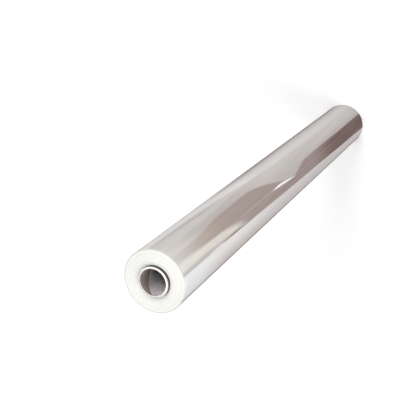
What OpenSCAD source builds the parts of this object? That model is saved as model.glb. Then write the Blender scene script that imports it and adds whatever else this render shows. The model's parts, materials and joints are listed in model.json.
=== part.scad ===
/*
A roll of florist film: one long web of glossy film wound on a board tube.
The roll stands on its plain end, with +Z along the winding axis.
The origin is the centre of that end. All lengths are in millimetres.
*/

/* [Film] */
// Width of the web, which is the length of the wound film
film_width = 800; // [300:10:1200]
// Outer diameter over the last turn
roll_d = 80; // [60:0.5:120]
// How far the free edge of the last turn stands off the turn below it
edge_lift = 0.3; // [0.1:0.05:1]
// Place of the free edge round the roll, in degrees from +X
edge_angle = -115; // [-180:1:180]

/* [End face] */
// Number of bands of turns that can be told apart on the upper end face
band_count = 16; // [6:1:24]
// How deep the lowest band lies below the face
band_depth = 0.5; // [0.1:0.05:1.5]
// Share of a band's width by which its edge wanders from even spacing
band_wander = 0.3; // [0:0.05:0.4]

/* [Core tube] */
// Bore of the board tube
core_bore = 33.5; // [20:0.5:42]
// Wall of the board tube
core_wall = 2.75; // [1.5:0.25:4]
// How far the tube stands out of the film at the upper end
core_proud = 4; // [0:0.5:15]
// Gap between the tube and the first turn, all round
core_gap = 0.3; // [0.05:0.05:0.5]

/* [Hidden] */
// Segments of a full circle
$fn = 128;
// Overrun of a cut past the face that it opens
cut = 1;
// Angle by which the wander and the depth change from one band to the next
scatter_angle = 137.5;

film_hole_r = core_bore / 2 + core_wall + core_gap;
// The last turn is drawn as two half circles. The second one is smaller and
// off centre, so that the outline closes in one step at the free edge.
turn_r = roll_d / 2;
inner_turn_r = turn_r - edge_lift / 2;
banded_r = turn_r - edge_lift;

// Outer radius of a band: even spacing from the hole outwards, plus the wander
function band_r(i) =
    film_hole_r + (banded_r - film_hole_r) * (i + wander(i)) / band_count;

// The first and the last edge stay where they are, and the others wander
function wander(i) =
    i == 0 || i == band_count ? 0 : band_wander * sin(i * scatter_angle);

// Depth of a band below the end face, between nothing and band_depth
function band_drop(i) = band_depth * (1 - cos(i * scatter_angle)) / 2;

// One half disc, on the +Y side of its centre
module half_disc(r) {
    intersection() {
        circle(r = r);
        translate([-r, 0]) square([2 * r, r]);
    }
}

// Outline of the last turn, with its free edge as one step on the +X side
module last_turn() {
    half_disc(turn_r);
    translate([-edge_lift / 2, 0]) mirror([0, 1]) half_disc(inner_turn_r);
}

// The turns of film, wound tight enough to be one solid
module film_roll() {
    color([0.86, 0.85, 0.87])
    difference() {
        rotate([0, 0, edge_angle]) linear_extrude(film_width) last_turn();
        translate([0, 0, -cut]) cylinder(r = film_hole_r, h = film_width + 2 * cut);
        for (i = [1 : band_count - 1]) {
            translate([0, 0, film_width - band_drop(i)]) band(i);
        }
    }
}

// What is missing above band number i, counted from the hole
module band(i) {
    difference() {
        cylinder(r = band_r(i), h = band_depth + cut);
        translate([0, 0, -cut]) cylinder(r = band_r(i - 1), h = band_depth + 3 * cut);
    }
}

// The board tube that the film is wound on
module core_tube() {
    color([0.66, 0.62, 0.61])
    difference() {
        cylinder(d = core_bore + 2 * core_wall, h = film_width + core_proud);
        translate([0, 0, -cut]) cylinder(d = core_bore, h = film_width + core_proud + 2 * cut);
    }
}

film_roll();
core_tube();
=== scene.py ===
# %% [markdown]
# # A roll of florist film
# A long web of clear, glossy film is wound on a board tube. Hundreds of clear
# turns on top of each other turn silvery on the side, with streaks that run
# along the axis, and milky white on the end, where only the cut edges show.
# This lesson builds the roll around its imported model, as surfaces worked out
# with numpy, and then gives each surface its finish.

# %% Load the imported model
import math
import bpy
import numpy as np
from mathutils import Matrix, Vector
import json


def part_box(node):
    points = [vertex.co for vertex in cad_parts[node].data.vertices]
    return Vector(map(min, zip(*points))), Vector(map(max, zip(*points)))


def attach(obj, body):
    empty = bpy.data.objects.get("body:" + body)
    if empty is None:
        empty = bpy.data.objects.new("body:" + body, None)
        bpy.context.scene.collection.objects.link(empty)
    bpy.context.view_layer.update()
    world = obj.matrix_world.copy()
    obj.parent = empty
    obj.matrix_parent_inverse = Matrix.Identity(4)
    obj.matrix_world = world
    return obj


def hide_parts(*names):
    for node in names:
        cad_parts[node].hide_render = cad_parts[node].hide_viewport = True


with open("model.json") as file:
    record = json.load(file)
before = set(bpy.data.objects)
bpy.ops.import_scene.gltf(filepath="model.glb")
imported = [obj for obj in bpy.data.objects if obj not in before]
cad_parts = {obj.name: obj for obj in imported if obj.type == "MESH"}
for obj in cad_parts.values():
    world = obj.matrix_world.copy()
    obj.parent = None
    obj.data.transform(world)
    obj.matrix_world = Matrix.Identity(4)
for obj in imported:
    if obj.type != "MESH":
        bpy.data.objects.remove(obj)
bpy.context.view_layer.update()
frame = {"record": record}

# %% [markdown]
# ## The sizes
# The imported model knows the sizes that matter: the film's width and the tube's
# outside come from the nodes' boxes, and the bore from its mount. What the
# boxes don't tell, such as the free edge and the bands of turns on the end
# face, has the same values and the same rule here as in the part's source.

# %% Sizes from the frame
MM = 0.001
film_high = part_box("film_roll")[1]
core_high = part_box("core_tube")[1]
bore_mount = next(m for m in frame["record"]["mounts"] if m["name"] == "core_bore")

film_width = film_high.z
core_top = core_high.z
core_r = core_high.x
bore_r = bore_mount["dims"]["r_mm"] * MM
print(f"film {film_width / MM:.0f} mm wide, tube {core_top / MM:.0f} mm long,",
      f"bore {2 * bore_r / MM:.1f} mm")

# %% Sizes as in the part's source
roll_r = 40 * MM
core_gap = 0.3 * MM
film_hole_r = core_r + core_gap
edge_lift = 0.3 * MM
edge_angle = math.radians(-115)
print(f"roll {2 * roll_r / MM:.0f} mm across, hole in the film {2 * film_hole_r / MM:.1f} mm")


# %% [markdown]
# ## Two helpers for meshes
# Each piece here is a closed profile carried once round the axis, so its
# points lie on a grid: one column for each angle, one row for each point of
# the profile. Both directions close on themselves, and no pole or seam stays
# open. Blender could spin such a profile too, but the grid lets the radius
# change with the angle, which a spin can't.

# %% A ring-shaped grid becomes a mesh
def ring_mesh(name, x, y, z, row_material, sharp_angle=35):
    """Mesh from three arrays of shape (rows, columns): each point is joined to
    the next one round the axis and to the next one along the profile, and
    both directions wrap round. row_material gives each row of faces its slot."""
    rows, columns = x.shape
    index = np.arange(rows * columns).reshape(rows, columns)
    across = np.roll(index, -1, axis=1)
    along = np.roll(index, -1, axis=0)
    corner = np.roll(across, -1, axis=0)
    faces = np.stack([index, across, corner, along], axis=-1).reshape(-1, 4)
    mesh = bpy.data.meshes.new(name)
    mesh.from_pydata(np.stack([x, y, z], axis=-1).reshape(-1, 3).tolist(), [], faces.tolist())
    mesh.polygons.foreach_set("material_index", np.repeat(row_material, columns).astype(np.int32))
    mesh.polygons.foreach_set("use_smooth", np.ones(len(faces), bool))
    mesh.set_sharp_from_angle(angle=math.radians(sharp_angle))
    mesh.update()
    piece = bpy.data.objects.new(name, mesh)
    bpy.context.scene.collection.objects.link(piece)
    print(f"{name}: {len(faces)} faces, {2 * len(faces)} triangles")
    return piece


# %% Smooth unevenness that closes round the roll
def ripple(angle, height, seed, turns, waves, count=12):
    """Sum of cosines, cos(m * angle + n * height + phase), with m a whole
    number up to turns, so that it closes round the roll, and n up to waves
    radians per metre. The result lies between -1 and 1."""
    draw = np.random.default_rng(seed)
    total = 0
    for _ in range(count):
        m = draw.integers(1, turns + 1)
        n = draw.uniform(-waves, waves)
        total = total + np.cos(m * angle + n * height + draw.uniform(0, 2 * np.pi))
    return np.clip(total / math.sqrt(count) / 2, -1, 1)


# %% [markdown]
# ## The wound film
# The outline of the last turn is a spiral that comes back to its start one
# step lower, and that step is the free edge. The film is not a perfect
# cylinder: tight and slack stretches along the web leave long shallow swells,
# and they bend every reflection on the glossy side into drawn-out feathers.
# On the end face the turns stand in bands of slightly different height.

# %% The bands of turns, by the rule of the part's source
BAND_COUNT = 16
ROWS_PER_BAND = 5
BAND_DEPTH = 0.5 * MM
BAND_WANDER = 0.3
SCATTER = math.radians(137.5)
BAND_BEVEL = 0.06 * MM


def band_edge(i):
    """Radius of a band's outer edge: even spacing from the hole outwards, and
    between the first and the last edge a wander that follows a sine."""
    i = np.asarray(i, float)
    wander = np.where((i == 0) | (i == BAND_COUNT), 0, BAND_WANDER * np.sin(i * SCATTER))
    return film_hole_r + (roll_r - edge_lift - film_hole_r) * (i + wander) / BAND_COUNT


def band_drop(i):
    """Depth of a band below the face: a raised cosine of its number, and
    nothing at the last band, which is the face itself."""
    i = np.asarray(i, float)
    return np.where(i == BAND_COUNT, 0, BAND_DEPTH * (1 - np.cos(i * SCATTER)) / 2)


# %% The end face, band by band, from the rim inwards to the hole
band = np.repeat(np.arange(BAND_COUNT, 0, -1), ROWS_PER_BAND)
step = np.tile(np.linspace(0, 1, ROWS_PER_BAND), BAND_COUNT)
outer = band_edge(band) - BAND_BEVEL
inner = band_edge(band - 1) + BAND_BEVEL
face_r = outer + (inner - outer) * step
# two sines of the radius, one fine and one slow, make rings that come and go
RING_DEPTH = 0.035 * MM
fine_rings = RING_DEPTH * np.sin(face_r / MM * 9.7) * np.sin(face_r / MM * 2.3 + 1)
face_drop = band_drop(band) + np.abs(fine_rings)
print(f"end face: {BAND_COUNT} bands of turns, down to {face_drop.max() / MM:.2f} mm deep")


# %% The rows of the side and of the rounded edges
SIDE_ROWS = 96
RIM_ROUND = 0.35 * MM
side_share = np.linspace(0, 1, SIDE_ROWS)
side_height = RIM_ROUND + (film_width - 2 * RIM_ROUND) * side_share
rim_turn = np.linspace(0, math.pi / 2, 5)[1:]

# inset: how far a row lies inside the last turn
top_rim_inset = RIM_ROUND * (1 - np.cos(rim_turn))
top_rim_height = film_width - RIM_ROUND * (1 - np.sin(rim_turn))
foot_inset = np.array([RIM_ROUND, RIM_ROUND * 0.3])
foot_height = np.array([0, RIM_ROUND * 0.3])
print(f"side: {SIDE_ROWS} rows, its edges rounded by {RIM_ROUND / MM:.2f} mm")

# %% The last turn, and all rows of the profile in one go
COLUMNS = 400
GAP_AT_EDGE = math.radians(0.06)
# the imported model's flats lie this far inside its nominal radius
FLAT_INSET = 0.02 * MM
SWELL = 0.06 * MM
RIDGE = 0.02 * MM
HOOP = 0.015 * MM

film_angle = edge_angle + np.linspace(0, 2 * np.pi - GAP_AT_EDGE, COLUMNS)
fall = edge_lift * np.linspace(0, 1, COLUMNS)


def last_turn(height):
    """Radius of the last turn: a spiral that falls by the lift of the free
    edge in one turn, less wide swells, narrow ridges along the axis and low
    hoops round it. All of them only take away, so the film never stands
    outside its nominal size."""
    swell = SWELL * (1 + ripple(film_angle, height, 3, turns=5, waves=9))
    ridge = RIDGE * (1 + ripple(film_angle, height, 8, turns=17, waves=14, count=18))
    hoop = HOOP * (1 + ripple(0 * film_angle, height, 5, turns=1, waves=160))
    return roll_r - FLAT_INSET - fall - swell - ridge - hoop


side_r = last_turn(side_height[:, None])
top_rim_r = last_turn(np.full((1, 1), film_width)) - top_rim_inset[:, None]
foot_r = last_turn(np.zeros((1, 1))) - foot_inset[:, None]
flat = np.ones((1, COLUMNS))

# the outermost band starts where the rounded rim ends, at every angle
RIM_STEP = 0.02 * MM
face_rows_r = face_r[:, None] * flat
outermost_band = band == BAND_COUNT
rim_end = top_rim_r[-1] - RIM_STEP
blend = ((face_r - inner) / (outer - inner))[outermost_band, None]
face_rows_r[outermost_band] = inner[outermost_band, None] + (rim_end - inner[outermost_band, None]) * blend

# the hole starts below the deepest band
hole_rows_r = film_hole_r * np.repeat(flat, 3, axis=0)
hole_height = np.array([film_width - BAND_DEPTH * 1.2, film_width / 2, 0])

FACE_WAVE = 0.05 * MM
wave = FACE_WAVE * ripple(film_angle, face_rows_r * 60, 11, turns=3, waves=7)
film_r = np.vstack([foot_r, side_r, top_rim_r, face_rows_r, hole_rows_r])
film_z = np.vstack([
    foot_height[:, None] * flat,
    side_height[:, None] * flat,
    top_rim_height[:, None] * flat,
    film_width - face_drop[:, None] - FACE_WAVE + wave,
    hole_height[:, None] * flat,
])
print(f"film: {len(film_r)} rows, {COLUMNS} columns,",
      f"side from {side_r.min() / MM:.2f} to {side_r.max() / MM:.2f} mm in radius")

# %% The film's mesh: side turns in slot 0, cut edges in slot 1
side_faces = len(foot_height) + SIDE_ROWS + len(rim_turn) - 2
row_slot = np.ones(len(film_r))
row_slot[:side_faces] = 0
film_x = film_r * np.cos(film_angle)
film_y = film_r * np.sin(film_angle)
wound_film = ring_mesh("wound_film", film_x, film_y, film_z, row_slot)
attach(wound_film, "root")
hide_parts("film_roll")

# %% [markdown]
# ## The board tube
# The tube is wound from strips of grey board in a steep spiral, so a seam runs
# down inside like a stripe on a barber's pole. Its end is cut square: the
# plies show as fine rings, the saw leaves a little fuzz, and one nick. Handling
# has bent the lip a little to one side.

# %% The seam inside and the bent lip
PLY_PITCH = 100 * MM
SEAM_WIDTH = 0.7 * MM
SEAM_DEPTH = 0.25 * MM
SEAM_START = math.radians(132)
SEAM_REACH = 70 * MM
SEAM_FADE = 20 * MM
LIP_BEND = 0.45 * MM
LIP_ANGLE = math.radians(5)
LIP_REACH = 7 * MM


def seam(angle, height):
    """1 on the seam and 0 off it: a bell curve of the distance, round the
    wall, from a helix of one turn per ply pitch. It fades out below the
    reach of a look into the tube."""
    off = angle - SEAM_START + (core_top - height) * 2 * np.pi / PLY_PITCH
    off = (off + np.pi) % (2 * np.pi) - np.pi
    fade = np.clip((height - core_top + SEAM_REACH) / SEAM_FADE, 0, 1)
    return np.exp(-((off * bore_r / SEAM_WIDTH) ** 2)) * fade


def lip_bend(angle, height):
    """How far the wall leans outwards: a cosine of the angle from the side
    that the lip is bent to, and a smooth fall to nothing at the lip's reach."""
    share = np.clip((height - core_top + LIP_REACH) / LIP_REACH, 0, 1)
    return LIP_BEND * np.cos(angle - LIP_ANGLE) * share * share * (3 - 2 * share)


# %% The walls of the tube, inside and outside
TUBE_COLUMNS = 240
# the walls end this far below the top, and the rim goes on from there
RIM_DEPTH = 0.4 * MM
WALL_SWELL = 0.02 * MM

tube_angle = np.linspace(0, 2 * np.pi, TUBE_COLUMNS, endpoint=False)
dense = core_top - RIM_DEPTH - np.arange(0, 60 * MM, 1.2 * MM)
sparse = np.linspace(dense[-1], 0, 30)[1:]
inside_height = np.concatenate([dense, sparse])[:, None]
inside_r = bore_r + SEAM_DEPTH * seam(tube_angle, inside_height) + lip_bend(tube_angle, inside_height)

straight = np.linspace(0, core_top - 1.2 * LIP_REACH, 50)
leaning = core_top - np.linspace(LIP_REACH, RIM_DEPTH, 12)
outside_height = np.append(straight, leaning)[:, None]
outside_r = core_r - WALL_SWELL * (1 + ripple(tube_angle, outside_height, 21, turns=4, waves=30))
# the wall can't lean out past the first turn, so there the board is pressed thinner
outside_r = outside_r + np.minimum(lip_bend(tube_angle, outside_height), 0)
print(f"tube walls: {len(inside_height)} rows inside, {len(outside_height)} outside")

# %% The cut rim with its plies, fuzz and nick
PLY_COUNT = 5
PLY_STEP = 0.06 * MM
PLY_GROOVE = 0.05 * MM
FUZZ = 0.05 * MM
NICK_ANGLE = math.radians(116)
NICK_DEPTH = 0.7 * MM
NICK_WIDTH = 0.05

ply = np.repeat(np.arange(PLY_COUNT), 3)
ply_share = (ply + np.tile([0.06, 0.5, 0.94], PLY_COUNT)) / PLY_COUNT
rim_outer = outside_r[-1]
rim_inner = inside_r[0]
rim_r = rim_outer + (rim_inner - rim_outer) * ply_share[:, None]
ply_drop = PLY_STEP * (1 + np.cos(ply * 2.4)) + PLY_GROOVE * np.tile([1.0, 0, 1.0], PLY_COUNT)
fuzz = FUZZ * (1 + ripple(tube_angle, rim_r * 900, 31, turns=60, waves=6, count=30))
nick = NICK_DEPTH * np.exp(-(((tube_angle - NICK_ANGLE) / NICK_WIDTH) ** 2))
nick = nick * (0.4 + 0.6 * ply_share[:, None])
rim_z = core_top - ply_drop[:, None] - fuzz - nick
print(f"rim: {PLY_COUNT} plies, {(core_top - rim_z.min()) / MM:.2f} mm deep at the nick")

tube_r = np.vstack([outside_r, rim_r, inside_r])
tube_z = np.vstack([
    outside_height * np.ones((1, TUBE_COLUMNS)),
    rim_z,
    inside_height * np.ones((1, TUBE_COLUMNS)),
])

# %% The tube's mesh: walls in slot 0, cut rim in slot 1
tube_slot = np.zeros(len(tube_r))
tube_slot[len(outside_height) - 1:len(outside_height) + len(ply)] = 1
tube_x = tube_r * np.cos(tube_angle)
tube_y = tube_r * np.sin(tube_angle)
board_tube = ring_mesh("board_tube", tube_x, tube_y, tube_z, tube_slot)
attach(board_tube, "root")
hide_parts("core_tube")


# %% [markdown]
# ## Writing materials as formulas
# A shader is a network of small nodes. Placed one by one they make a long and
# blind script, so a wire here is a small object that knows its tree: adding or
# multiplying two wires places the Math node and joins it up.

# %% A number that travels through a node tree
class Wire:
    """One number in a node tree. The signs + - * / place Math nodes."""

    def __init__(self, tree, socket):
        self.tree = tree
        self.socket = socket

    def math(self, operation, *others):
        """Places a Math node and plugs this wire and the others into it."""
        node = self.tree.nodes.new("ShaderNodeMath")
        node.operation = operation
        for slot, value in zip(node.inputs, (self, *others)):
            plug(self.tree, value, slot)
        return Wire(self.tree, node.outputs[0])

    def __add__(self, other):
        return self.math("ADD", other)

    def __sub__(self, other):
        return self.math("SUBTRACT", other)

    def __mul__(self, other):
        return self.math("MULTIPLY", other)

    def __truediv__(self, other):
        return self.math("DIVIDE", other)

    def __neg__(self):
        return self * -1

    def flipped(self):
        """One minus the wire."""
        return -self + 1


def plug(tree, value, slot):
    """Joins a wire to a slot, or writes a plain value into it."""
    if isinstance(value, Wire):
        tree.links.new(value.socket, slot)
    else:
        slot.default_value = value


# %% Ramps, bands and noise
def rise(x, low, high):
    """0 below low, 1 above high, and an S-shaped rise between them."""
    node = x.tree.nodes.new("ShaderNodeMapRange")
    node.interpolation_type = "SMOOTHSTEP"
    plug(x.tree, x, node.inputs["Value"])
    plug(x.tree, low, node.inputs["From Min"])
    plug(x.tree, high, node.inputs["From Max"])
    return Wire(x.tree, node.outputs["Result"])


def band_mask(x, low, high, soft_low, soft_high):
    """1 between low and high and 0 outside. Each side has its own softness."""
    x_from_low = x - low
    x_from_high = x - high
    return rise(x_from_low, -soft_low, soft_low) * rise(x_from_high, -soft_high, soft_high).flipped()


def object_place(tree):
    """The place on the piece, in metres, as a vector and as three wires."""
    place = tree.nodes.new("ShaderNodeTexCoord").outputs["Object"]
    split = tree.nodes.new("ShaderNodeSeparateXYZ")
    tree.links.new(place, split.inputs[0])
    return place, [Wire(tree, s) for s in split.outputs]


def from_axis(x, y):
    """Distance from the roll's axis: the root of x squared plus y squared."""
    return (x * x + y * y).math("SQRT")


def noise(tree, place, scale, detail=3.0, roughness=0.5, shift=0.0):
    """Noise whose three directions have their own scales: a small scale along
    one direction stretches the pattern that way. It lies around 0.5."""
    mapping = tree.nodes.new("ShaderNodeMapping")
    mapping.inputs["Location"].default_value = (shift, shift, shift)
    mapping.inputs["Scale"].default_value = scale
    tree.links.new(place, mapping.inputs["Vector"])
    node = tree.nodes.new("ShaderNodeTexNoise")
    node.inputs["Scale"].default_value = 1.0
    node.inputs["Detail"].default_value = detail
    node.inputs["Roughness"].default_value = roughness
    tree.links.new(mapping.outputs[0], node.inputs["Vector"])
    return Wire(tree, node.outputs["Fac"])


# %% Colours
def shade(red, green, blue):
    """A colour as a picture shows it, 0 to 255, as the light a shader wants."""
    def linear(v):
        v = v / 255
        return v / 12.92 if v <= 0.04045 else ((v + 0.055) / 1.055) ** 2.4
    return (linear(red), linear(green), linear(blue), 1.0)


def mixed(tree, share, first, second):
    """Colour that goes from first to second as share goes from 0 to 1."""
    node = tree.nodes.new("ShaderNodeMix")
    node.data_type = "RGBA"
    plug(tree, share, node.inputs[0])
    ends = [slot for slot in node.inputs if slot.type == "RGBA"]
    for value, slot in zip((first, second), ends):
        if isinstance(value, bpy.types.NodeSocket):
            tree.links.new(value, slot)
        else:
            slot.default_value = value
    return next(slot for slot in node.outputs if slot.type == "RGBA")


def new_material(name):
    """A fresh material, its tree and its surface shader."""
    material = bpy.data.materials.new(name)
    material.use_nodes = True
    tree = material.node_tree
    return material, tree, tree.nodes["Principled BSDF"]


def bump(tree, shader, height, strength, distance):
    """Turns a height wire into a bump of the given distance in metres."""
    node = tree.nodes.new("ShaderNodeBump")
    node.inputs["Strength"].default_value = strength
    node.inputs["Distance"].default_value = distance
    tree.links.new(height.socket, node.inputs["Height"])
    tree.links.new(node.outputs[0], shader.inputs["Normal"])


# %% [markdown]
# ## The silvery side
# Every clear turn mirrors a little light, and hundreds of them make a pile of
# weak mirrors: bright, silvery, and streaked along the axis, with reflections
# that change where the turns press on each other or part. The streaks are
# painted reflections, with painted shade and highlights among them, written as
# layers over a pale grey: each is a band of angles whose limits drift along the
# roll, so it ends in a long feather. Angle 0 is the front, and down is the
# distance from the end that shows the tube.
#
# A clear coat would turn white wherever the surface is seen at a slant. The
# real pile turns greyish there, so the shader has no such layer: its share of
# metal gives the soft shine, and a grey tint takes the white off the edges.

# %% Where a point lies on the side
side, tree, shader = new_material("silvery_film_side")
place, (x, y, z) = object_place(tree)
DEGREES = 180 / math.pi
around = x.math("ARCTAN2", -y) * DEGREES
down = (-z + film_width) / MM
drift = noise(tree, place, (14, 14, 2.2), detail=2) - 0.5
turn = around + drift * 6

# %% Loose streaks all round
# Painted reflections at random places all round: pale, taupe and cream streaks over the silver.
silver = shade(203, 200, 198)
pale = shade(222, 220, 223)
taupe = shade(174, 162, 155)
cream = shade(222, 218, 209)

broad = noise(tree, place, (38, 38, 1.3), detail=2)
colour = mixed(tree, rise(broad, 0.50, 0.62), silver, pale)
warm = noise(tree, place, (44, 44, 1.7), detail=2, shift=3.1)
colour = mixed(tree, rise(warm, 0.52, 0.66), colour, taupe)
light = noise(tree, place, (60, 60, 2.0), detail=2, shift=7.7)
colour = mixed(tree, rise(light, 0.58, 0.70), colour, cream)
print("loose streaks:", len(tree.nodes), "nodes so far")

# %% The streaks of the front, as the photograph shows them
# Painted reflections of the front: a calm tone in the middle and a light glow along the lower half.
near = rise(down, 20, 130).flipped()
far = rise(down, 150, 340)
front = band_mask(turn, -95, 95, 8, 8)
calm = mixed(tree, rise(down, 0, 80), shade(207, 203, 197), shade(190, 183, 178))
calm = mixed(tree, rise(turn, 20, 42), calm, shade(206, 202, 198))
calm = mixed(tree, far * rise(turn, -12, 28), calm, shade(214, 210, 207))
colour = mixed(tree, front * 0.84, colour, calm)

lower_glow = band_mask(turn, -69, -27, 4, 2)
tone = mixed(tree, rise(turn, -64, -34), shade(216, 208, 204), shade(232, 229, 226))
tone = mixed(tree, near, tone, shade(235, 234, 237))
tone = mixed(tree, far * 0.7, tone, shade(216, 211, 212))
colour = mixed(tree, lower_glow, colour, tone)
# Painted shade along the lower edge, and a dark painted contour line right at it.
lower_shade = band_mask(turn, -100, -71, 5, 4)
tone = mixed(tree, near, shade(152, 141, 135), shade(174, 170, 169))
colour = mixed(tree, lower_shade, colour, tone)
lower_line = band_mask(turn, -95, -82, 5, 4)
colour = mixed(tree, lower_line, colour, shade(98, 84, 79))
print("front streaks:", len(tree.nodes), "nodes so far")

# %% The brown lens in the middle and the cream wedge beside it
# Painted reflections: a brown lens in the middle and a cream wedge beside it.
lens_low = rise(down, 0, 110) * -6 - 3 - rise(down, 110, 230) * 15
lens_high = rise(down, 0, 150) * 13 + 5 - rise(down, 225, 410) * 40
lens_soft = rise(down, 20, 130) * -3.5 + 7 - rise(down, 200, 290)
lens = band_mask(turn, lens_low, lens_high, 2.5, lens_soft)
tone = mixed(tree, rise(down, 40, 220), shade(171, 155, 143), shade(164, 150, 144))
colour = mixed(tree, lens * rise(down, -40, 160), colour, tone)

wedge_low = rise(down, 40, 160) * -5 - 19
wedge_high = down * -0.055 - 4.5 - rise(down, 115, 182) * 7
wedge = band_mask(turn, wedge_low, wedge_high, 2, near * 3 + 1.3)
tone = mixed(tree, near, shade(219, 211, 201), shade(224, 221, 213))
colour = mixed(tree, wedge * rise(down, 168, 186).flipped(), colour, tone)
print("lens and wedge:", len(tree.nodes), "nodes so far")

# %% The free edge, the brown strip beside it and the white glint
# Painted shade: a thin dark line along the free edge, beside the step of the last turn.
line_at = down * -0.026 - 23.8 - rise(down, 150, 200) * 1.5
line_first = band_mask(turn - line_at, -2, 2, 1.4, 1.4) * band_mask(down, -20, 76, 5, 5)
colour = mixed(tree, line_first * 0.8, colour, shade(186, 182, 177))
line_half = band_mask(down, 112, 180, 10, 40) * 1.5
line_rest = band_mask(turn - line_at, -line_half, line_half, 1.1, 1.1) * rise(down, 98, 106)
line_rest = line_rest * rise(line_half, 0, 0.3) * (rise(down, 122, 148) * 0.35 + 0.65)
colour = mixed(tree, line_rest, colour, shade(124, 112, 107))

# Painted reflection: a brown strip beside the free edge, painted darker far down as shade.
strip_high = rise(down, 385, 460) * 14 - 18.5
strip = band_mask(turn, line_at, strip_high, 1, 3) * rise(down, 150, 205)
tone = mixed(tree, rise(down, 260, 360), shade(165, 149, 143), shade(161, 144, 140))
tone = mixed(tree, rise(down, 470, 620), tone, shade(123, 103, 99))
colour = mixed(tree, strip, colour, tone)

glint_at = down * -0.01 - 10.6 - rise(down, 320, 410) * 6
# Painted reflection: a faint brownish tail ahead of the glint. Then a painted highlight: the white glint.
painted_glint_tail = band_mask(turn - glint_at, -1, 1, 3, 3) * band_mask(down, 200, 300, 30, 20)
colour = mixed(tree, painted_glint_tail * 0.6, colour, shade(184, 172, 169))
glint_half = rise(down, 290, 330) * 2.2 - rise(down, 345, 395) * 1.8
glint = band_mask(turn - glint_at, -glint_half, glint_half, 0.8, 0.8)
colour = mixed(tree, glint * band_mask(down, 298, 392, 14, 8), colour, shade(253, 251, 248))
print("edge, strip and glint:", len(tree.nodes), "nodes so far")

# %% The upper half: a thin line, a light streak, and shade along the edge
# Painted reflections and shade: a thin dark line, a light streak, painted shade along the edge with a dark
# contour at it, and a light feather near the end.
upper_at = down * -0.09 + 56
upper_line = band_mask(turn - upper_at, -1.6, 1.6, 1.4, 1.4) * rise(down, 110, 190).flipped()
colour = mixed(tree, upper_line * 0.8, colour, shade(178, 174, 171))
glow_at = rise(down, 60, 380) * -26 + 64
upper_glow = band_mask(turn - glow_at, -8, 13, 4, 9) * (rise(down, 220, 350) * -0.5 + 0.95)
colour = mixed(tree, upper_glow, colour, shade(235, 232, 230))
upper_shade = band_mask(turn, 64, 100, 7, 4) * (rise(down, 170, 345) * 0.85)
colour = mixed(tree, upper_shade, colour, shade(152, 141, 137))
upper_edge = band_mask(turn, 85, 95, 4, 5)
colour = mixed(tree, upper_edge, colour, shade(128, 116, 112))
feather = band_mask(turn, 11, 17, 3, 3) * rise(down, 30, 110).flipped()
colour = mixed(tree, feather * 0.8, colour, shade(214, 209, 203))
print("upper half:", len(tree.nodes), "nodes so far")

# %% Hairlines, sheen and relief of the side
# Painted reflections: fine bright and dark hairlines along the axis.
fine = noise(tree, place, (420, 420, 4.5), detail=4, roughness=0.6)
hair = noise(tree, place, (1500, 1500, 9), detail=1, shift=1.3)
colour = mixed(tree, rise(fine, 0.35, 0.75) * 0.08, colour, shade(255, 253, 255))
colour = mixed(tree, rise(hair, 0.60, 0.72) * 0.08, colour, shade(120, 112, 108))
tree.links.new(colour, shader.inputs["Base Color"])

gloss = noise(tree, place, (120, 120, 3), detail=2, shift=5.5)
tree.links.new((gloss * 0.30 + 0.02).socket, shader.inputs["Roughness"])
shader.inputs["Metallic"].default_value = 0.3
shader.inputs["Specular IOR Level"].default_value = 0
shader.inputs["Specular Tint"].default_value = (0.30, 0.29, 0.29, 1)
swell = noise(tree, place, (90, 90, 2.5), detail=3, shift=2.2)
bump(tree, shader, swell, 0.35, 0.4 * MM)
wound_film.data.materials.append(side)
print("side finish:", len(tree.nodes), "nodes")

# %% [markdown]
# ## The milky end
# The end face shows the cut edges of all the turns. Light runs along inside
# the clear film and comes out there, so the face glows milky white, a little
# bluish by the tube and greenish at the rim, with fine rings from band to band.
# The bluish tint by the tube is painted shade, and a grey ring round the rim is
# painted shade of its rounded edge.

# %% Rings of cut edges
ends, tree, shader = new_material("milky_film_edges")
place, (x, y, z) = object_place(tree)
radius = from_axis(x, y) / MM
ring_place = tree.nodes.new("ShaderNodeCombineXYZ")
tree.links.new(radius.socket, ring_place.inputs[0])
ring_place = ring_place.outputs[0]
rings = noise(tree, ring_place, (2.6, 1, 1), detail=4, roughness=0.65)
thread = noise(tree, ring_place, (14, 1, 1), detail=2, shift=4)

# Painted shade: a little bluish by the tube.
colour = mixed(tree, rise(radius, 20, 25), shade(242, 242, 245), shade(245, 245, 242))
colour = mixed(tree, rise(radius, 31, 37), colour, shade(245, 244, 238))
# Painted shade: a grey ring on the rounded rim.
colour = mixed(tree, rise(radius, 38.4, 39.6), colour, shade(186, 186, 182))
colour = mixed(tree, rise(rings, 0.42, 0.68) * 0.09, colour, shade(228, 228, 226))
colour = mixed(tree, rise(thread, 0.5, 0.7) * 0.06, colour, shade(220, 220, 221))
tree.links.new(colour, shader.inputs["Base Color"])
shader.inputs["Roughness"].default_value = 0.5
shader.inputs["Specular IOR Level"].default_value = 0.1
bump(tree, shader, rings + thread * 0.5, 0.25, 0.03 * MM)
wound_film.data.materials.append(ends)
print("end finish:", len(tree.nodes), "nodes")

# %% [markdown]
# ## Board
# The tube is grey-brown board with short fibres and small darker flecks. A
# brown strip and a grey one lie side by side inside it, with a dark line where
# they meet. Further down the brown is painted darker as shade, and the grey is
# painted lighter on one side as light and darker on the other as shade. Just
# below the rim the inside is a darker brown, to a ragged depth. The outside is
# brown board painted near black with the shade of the narrow gap against the
# film. The cut rim is pale, and greyer on one side, with small brown spots.

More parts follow.
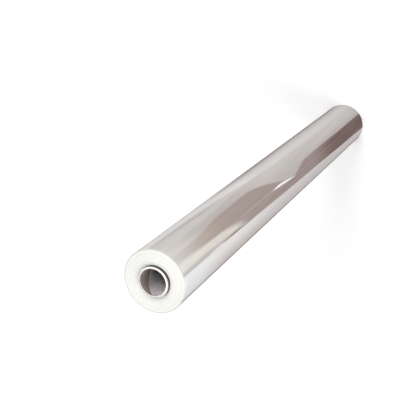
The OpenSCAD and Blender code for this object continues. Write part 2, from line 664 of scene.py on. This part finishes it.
# %% The tube's walls
board, tree, shader = new_material("grey_board")
place, (x, y, z) = object_place(tree)
fibre = noise(tree, place, (900, 900, 260), detail=4, roughness=0.7)
cloud = noise(tree, place, (60, 60, 25), detail=3, shift=2)
below = -z + core_top
wall_angle = y.math("ARCTAN2", x)
spiral = wall_angle - SEAM_START + below * (2 * math.pi / PLY_PITCH)
spiral = spiral.math("WRAP", math.pi, -math.pi)
strip_tone = rise(spiral, -0.02, 0.02) * rise(spiral, 1.4, 3.0).flipped()
# Painted shade and light: further down the brown is darker, and the grey is lighter on one side and darker
# on the other.
deep = rise(below, 6 * MM, 32 * MM)
painted_light_side = rise(wall_angle, 1.2, 1.9)
shaded = rise(wall_angle, 0.9, 1.4).flipped() * rise(below, 22 * MM, 42 * MM)
brown = mixed(tree, deep, shade(154, 143, 135), shade(120, 110, 105))
grey = mixed(tree, deep * painted_light_side, shade(230, 225, 231), shade(255, 253, 255))
grey = mixed(tree, shaded, grey, shade(110, 102, 102))
colour = mixed(tree, strip_tone, brown, grey)
colour = mixed(tree, rise(cloud, 0.35, 0.68) * 0.3, colour, shade(164, 154, 150))
colour = mixed(tree, rise(fibre, 0.45, 0.75) * 0.5, colour, shade(134, 124, 120))
fleck = noise(tree, place, (760, 760, 560), detail=2, roughness=0.6, shift=5)
colour = mixed(tree, rise(fleck, 0.50, 0.64) * 0.38, colour, shade(84, 72, 68))
seam_line = band_mask(spiral, -0.03, 0.03, 0.03, 0.03)
colour = mixed(tree, seam_line * 0.75, colour, shade(96, 84, 78))
# Darker brown along the top of the inside wall, to a ragged depth.
lip_band_depth = fibre * 1.6 * MM + 0.2 * MM
lip = rise(below, lip_band_depth * 0.6, lip_band_depth * 1.6).flipped()
colour = mixed(tree, lip * 0.8, colour, shade(104, 90, 82))
# Painted shade: the brown board outside is painted near black, as the shade of the narrow gap against the
# film.
outside = rise(from_axis(x, y), (bore_r + core_r) / 2, core_r)
colour = mixed(tree, outside, colour, shade(66, 59, 54))
tree.links.new(colour, shader.inputs["Base Color"])
shader.inputs["Roughness"].default_value = 0.75
bump(tree, shader, fibre, 0.5, 0.12 * MM)
board_tube.data.materials.append(board)
print("board finish:", len(tree.nodes), "nodes")

# %% The cut rim
rim, tree, shader = new_material("cut_board_rim")
place, (x, y, z) = object_place(tree)
fibre = noise(tree, place, (1400, 1400, 1400), detail=4, roughness=0.7)
colour = mixed(tree, rise(fibre, 0.4, 0.75), shade(255, 252, 251), shade(236, 230, 226))
# Greyer on one side, with small brown spots there.
greyer_side = rise(y, -6 * MM, 8 * MM)
colour = mixed(tree, greyer_side * 0.85, colour, shade(222, 219, 217))
spot_noise = noise(tree, place, (520, 520, 520), detail=2, shift=9)
colour = mixed(tree, rise(spot_noise, 0.52, 0.60) * greyer_side * 0.6, colour, shade(160, 146, 138))
tree.links.new(colour, shader.inputs["Base Color"])
shader.inputs["Roughness"].default_value = 0.8
bump(tree, shader, fibre, 0.5, 0.1 * MM)
board_tube.data.materials.append(rim)
print("rim finish:", len(tree.nodes), "nodes")

# %% [markdown]
# ## Floor and light
# Two large soft lamps stand high at the sides, and the white world fills the
# shade. The floor glows a little for the camera and for reflections, more so
# far out: it stays white up to the horizon, and the roll keeps its soft shadow.

# %% Rays that look and rays that carry light
def looking(tree):
    """1 for the rays that look, straight from the camera or by way of gloss or
    clear matter, and 0 for all the others, which carry light."""
    light_path = tree.nodes.new("ShaderNodeLightPath")
    share = Wire(tree, light_path.outputs["Is Camera Ray"])
    for ray in ("Is Glossy Ray", "Is Transmission Ray"):
        share = share.math("MAXIMUM", Wire(tree, light_path.outputs[ray]))
    return share


# %% White floor
FLOOR_R = 4.0
GLOW_START = 0.3
GLOW_END = FLOOR_R * 0.6
GLOW_NEAR = 0.22
GLOW_MORE = 0.2
bpy.ops.mesh.primitive_circle_add(vertices=96, radius=FLOOR_R, fill_type="NGON", location=(0, 0, 0))
floor = bpy.context.object
floor.name = "floor"
paper, tree, shader = new_material("white_paper")
shader.inputs["Roughness"].default_value = 0.9
shader.inputs["Emission Color"].default_value = (1, 1, 1, 1)
place, (x, y, z) = object_place(tree)
glow = rise(from_axis(x, y), GLOW_START, GLOW_END) * GLOW_MORE + GLOW_NEAR
tree.links.new((looking(tree) * glow).socket, shader.inputs["Emission Strength"])
shader.inputs["Base Color"].default_value = (0.9, 0.9, 0.9, 1)
floor.data.materials.append(paper)
print(f"floor: {FLOOR_R:.0f} m in radius")

# %% White world
WORLD_LIGHT = 0.62
world = bpy.data.worlds.new("white_studio")
bpy.context.scene.world = world
world.use_nodes = True
tree = world.node_tree
background = tree.nodes["Background"]
background.inputs["Color"].default_value = (1, 1, 1, 1)
strength = looking(tree) * (1 - WORLD_LIGHT) + WORLD_LIGHT
tree.links.new(strength.socket, background.inputs["Strength"])
print(f"world: {WORLD_LIGHT:.2f} as light, 1 where it is looked at")


# %% Soft lamps
LAMP_WIDTH = 0.9
LAMP_HEIGHT = 1.6
LAMP_TARGET = Vector((0, 0, 0.5))


def soft_lamp(name, place, watts):
    """Rectangular lamp at a place, turned to face the roll a little above its
    middle."""
    data = bpy.data.lights.new(name, "AREA")
    data.shape = "RECTANGLE"
    data.size = LAMP_WIDTH
    data.size_y = LAMP_HEIGHT
    data.energy = watts
    lamp = bpy.data.objects.new(name, data)
    lamp.location = place
    lamp.rotation_euler = (LAMP_TARGET - Vector(place)).to_track_quat("-Z", "Y").to_euler()
    bpy.context.scene.collection.objects.link(lamp)
    print(f"{name}: {watts} W")


soft_lamp("key_lamp", (1.1, -1.0, 1.9), 16.5)
soft_lamp("fill_lamp", (-1.3, -0.5, 1.6), 10.5)

# %% [markdown]
# ## The camera
# A pinhole camera was fitted to the roll's outline and to the round edges of
# its end in the photograph: where it stands, which way it looks, and which way
# is up in the picture. The roll stands upright here, so the camera is tilted
# and turned until the roll lies across the picture as it does there.

# %% The camera, at the photograph's angle
EYE = Vector((0, -0.5673, 1.5463))
LOOK = Vector((0.0411, 0.5168, -0.8551))
UP = Vector((0.7678, -0.5641, -0.3040))
SENSOR = 36
FOCAL_PIXELS = 812.9
PICTURE_PIXELS = 400
SHIFT_UP = 0.0002
camera_data = bpy.data.cameras.new("camera")
camera_data.sensor_width = SENSOR
camera_data.lens = FOCAL_PIXELS * SENSOR / PICTURE_PIXELS
camera_data.shift_y = SHIFT_UP
camera = bpy.data.objects.new("camera", camera_data)
bpy.context.scene.collection.objects.link(camera)
back = -LOOK.normalized()
right = UP.cross(back).normalized()
upright = back.cross(right)
camera.matrix_world = Matrix.Translation(EYE) @ Matrix((right, upright, back)).transposed().to_4x4()
bpy.context.scene.camera = camera
bpy.context.scene.view_settings.view_transform = "Standard"
print(f"lens {camera_data.lens:.1f} mm")

# %% [markdown]
# ## The end

# %% The end
import json
